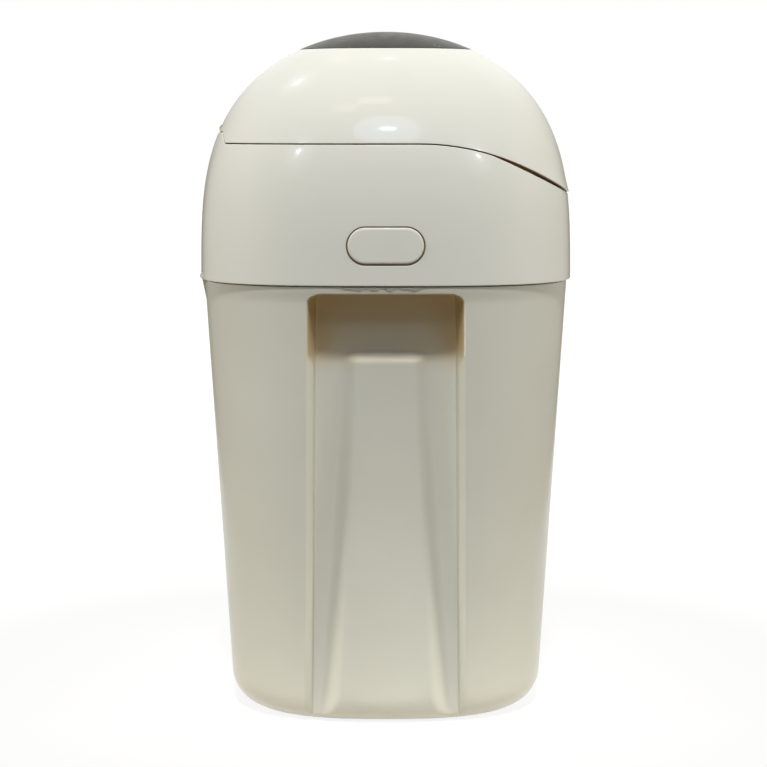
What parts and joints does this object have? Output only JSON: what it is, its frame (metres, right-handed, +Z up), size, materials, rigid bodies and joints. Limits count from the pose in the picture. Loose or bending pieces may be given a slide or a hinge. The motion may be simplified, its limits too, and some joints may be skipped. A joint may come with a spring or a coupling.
{
  "type": "nappy bin",
  "caption": "Tall oval nappy bin with a hinged head that holds a ring of film and a sprung clamp, side release buttons, finger grips and a domed hinged lid.",
  "frame": {"origin": "on the floor, under the middle of the bin's bounding box", "axes": "+Z up; +X towards the front, where the lid's lip is; +Y towards the left side"},
  "size_m": [0.306, 0.2524, 0.56],
  "materials": {
    "body_plastic": "moulded, glossy ivory",
    "head_plastic": "moulded, glossy cream",
    "lid_plastic": "moulded, glossy cream",
    "insert_plastic": "moulded, semi-gloss charcoal",
    "inner_plastic": "moulded, matt grey",
    "jaw_plastic": "moulded, matt charcoal",
    "cassette_plastic": "thin moulded pale blue",
    "film": "pleated thin film",
    "soft_rubber": "matt",
    "steel": "zinc plated"
  },
  "bodies": {
    "bin": {"bin_body": "body_plastic", "foot_front_left": "soft_rubber", "foot_front_right": "soft_rubber", "foot_rear_left": "soft_rubber", "foot_rear_right": "soft_rubber", "head_hinge_pin": "steel"},
    "head": {"head_shell": "head_plastic", "inner_deck": "inner_plastic", "cassette_tub": "cassette_plastic", "cassette_cover": "cassette_plastic", "film_pack": "film", "clamp_housing": "inner_plastic", "clamp_screws": "steel", "deck_screws": "steel", "button_guide_left": "inner_plastic", "button_guide_right": "inner_plastic", "guide_screws": "steel", "film_cutter_body": "jaw_plastic", "film_cutter_blade": "steel", "lid_hinge_pin": "steel", "button_spring_left": "steel", "button_spring_right": "steel", "jaw_spring_front_left": "steel", "jaw_spring_front_right": "steel", "jaw_spring_rear_left": "steel", "jaw_spring_rear_right": "steel"},
    "lid": {"lid_shell": "lid_plastic", "lid_top_insert": "insert_plastic", "lid_liner": "inner_plastic", "lid_seal": "soft_rubber", "lid_screws": "steel"},
    "button_left": {"release_button_left": "head_plastic"},
    "button_right": {"release_button_right": "head_plastic"},
    "jaw_front": {"clamp_jaw_front": "jaw_plastic", "jaw_lip_front": "soft_rubber"},
    "jaw_rear": {"clamp_jaw_rear": "jaw_plastic", "jaw_lip_rear": "soft_rubber"}
  },
  "joints": [
    {"name": "head_hinge", "type": "hinge", "parent": "bin", "child": "head", "pos_m": [-0.1494, 0, 0.3612], "axis": [0, -1, 0], "range_deg": [0, 80]},
    {"name": "lid_hinge", "type": "hinge", "parent": "head", "child": "lid", "pos_m": [-0.13362, 0, 0.481], "axis": [0, -1, 0], "range_deg": [0, 95]},
    {"name": "button_left_press", "type": "slide", "parent": "head", "child": "button_left", "axis": [0, -1, 0], "range_m": [0, 0.004], "stiffness_N_per_m": 500, "springref_m": -0.004, "deforming": ["button_spring_left"]},
    {"name": "button_right_press", "type": "slide", "parent": "head", "child": "button_right", "axis": [0, 1, 0], "range_m": [0, 0.004], "stiffness_N_per_m": 500, "springref_m": -0.004, "deforming": ["button_spring_right"]},
    {"name": "jaw_front_slide", "type": "slide", "parent": "head", "child": "jaw_front", "axis": [1, 0, 0], "range_m": [0, 0.04], "stiffness_N_per_m": 60, "springref_m": -0.03, "deforming": ["jaw_spring_front_left", "jaw_spring_front_right"]},
    {"name": "jaw_rear_slide", "type": "slide", "parent": "head", "child": "jaw_rear", "axis": [-1, 0, 0], "range_m": [0, 0.04], "stiffness_N_per_m": 60, "springref_m": -0.03, "deforming": ["jaw_spring_rear_left", "jaw_spring_rear_right"]}
  ]
}
